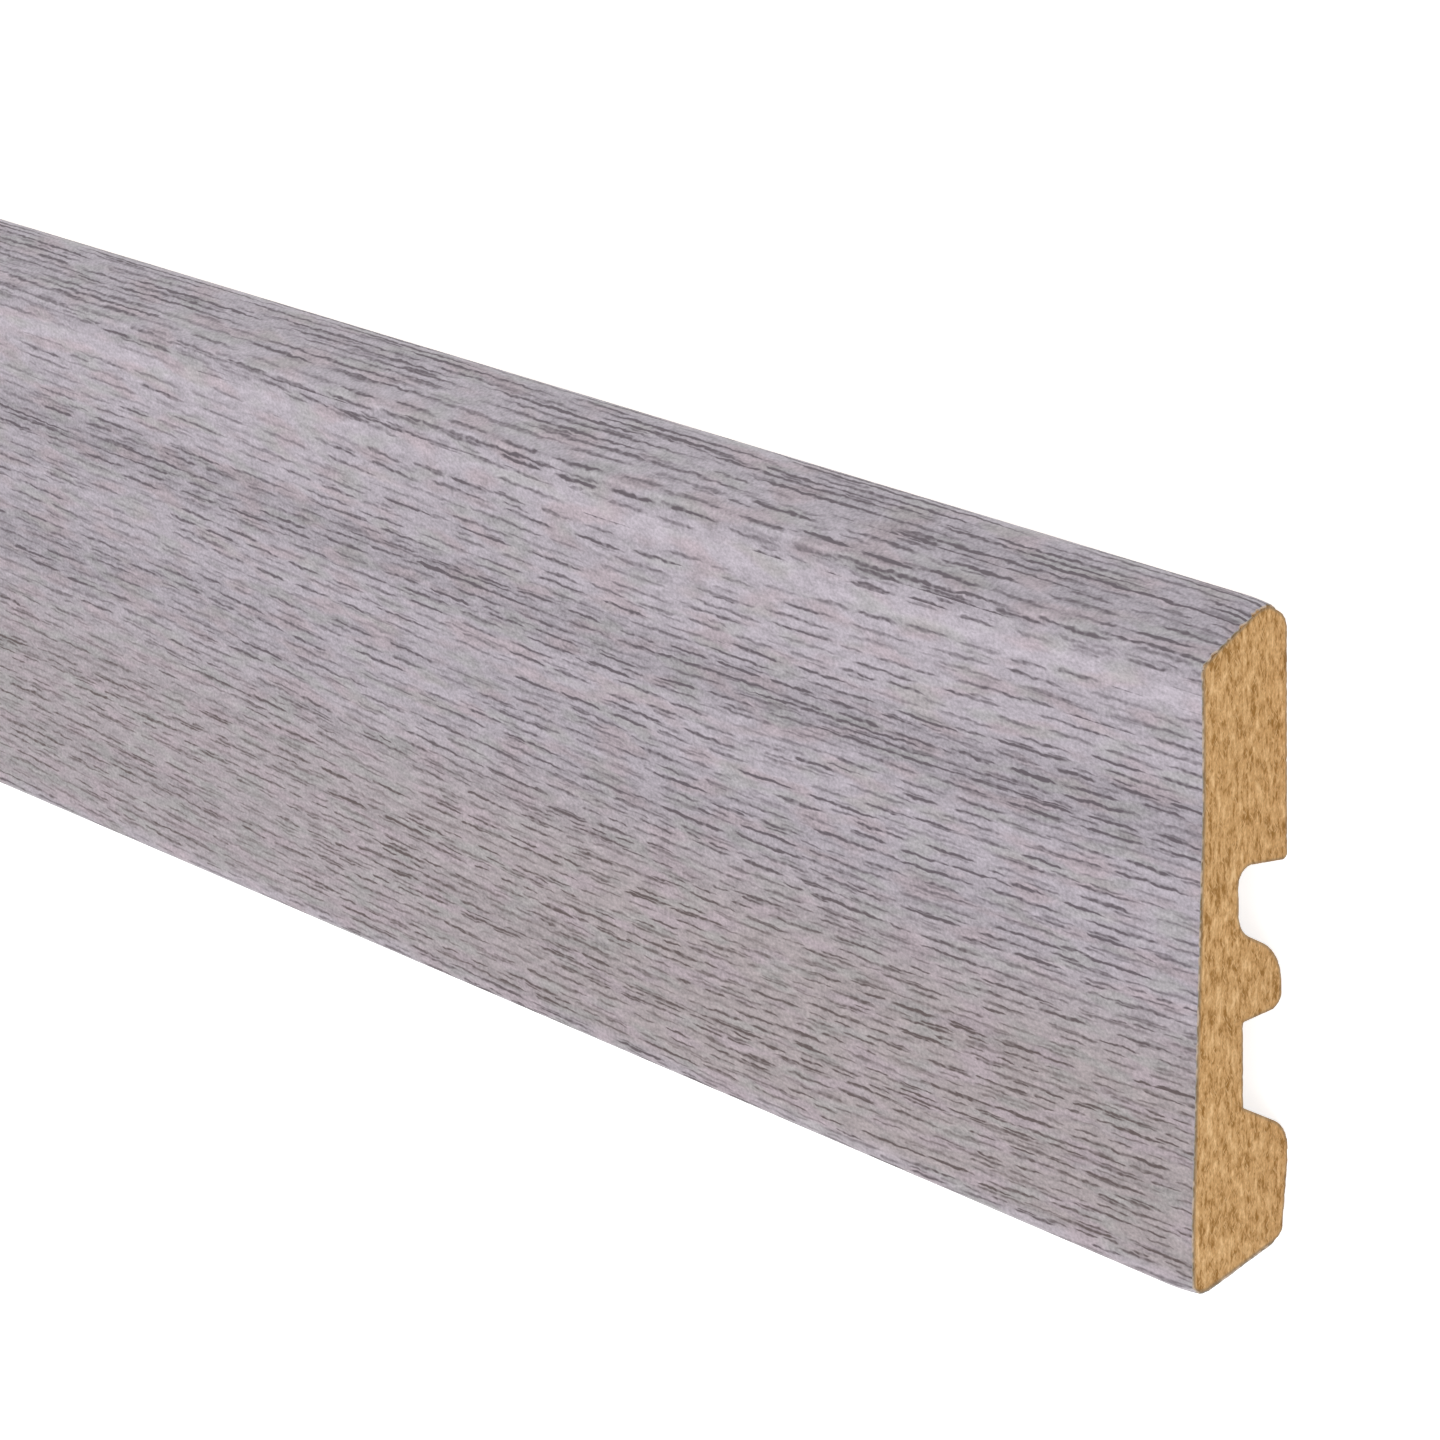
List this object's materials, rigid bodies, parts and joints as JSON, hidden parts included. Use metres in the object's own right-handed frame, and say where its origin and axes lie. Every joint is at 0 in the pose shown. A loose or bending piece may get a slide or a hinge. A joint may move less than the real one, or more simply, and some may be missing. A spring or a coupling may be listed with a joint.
{
  "type": "skirting board length",
  "caption": "Long straight skirting board: MDF core with a clip groove and cable recess milled in its back, front wrapped in grey wood-grain foil.",
  "frame": {"origin": "on the wall plane, which is the board's plain back, at the middle of its length and of its height; the board lies on its back, so this is the middle of its base", "axes": "+X along the board, +Y up the board's height from its floor edge to its crest, +Z out from the wall plane to the decor face"},
  "size_m": [2.4, 0.08, 0.016],
  "materials": {
    "mdf": "sawn and milled medium density fibreboard, golden tan",
    "decor": "satin printed foil, cool light grey wood grain with darker short pores"
  },
  "bodies": {
    "root": {"mdf_core": "mdf", "decor_foil": "decor"}
  },
  "joints": []
}
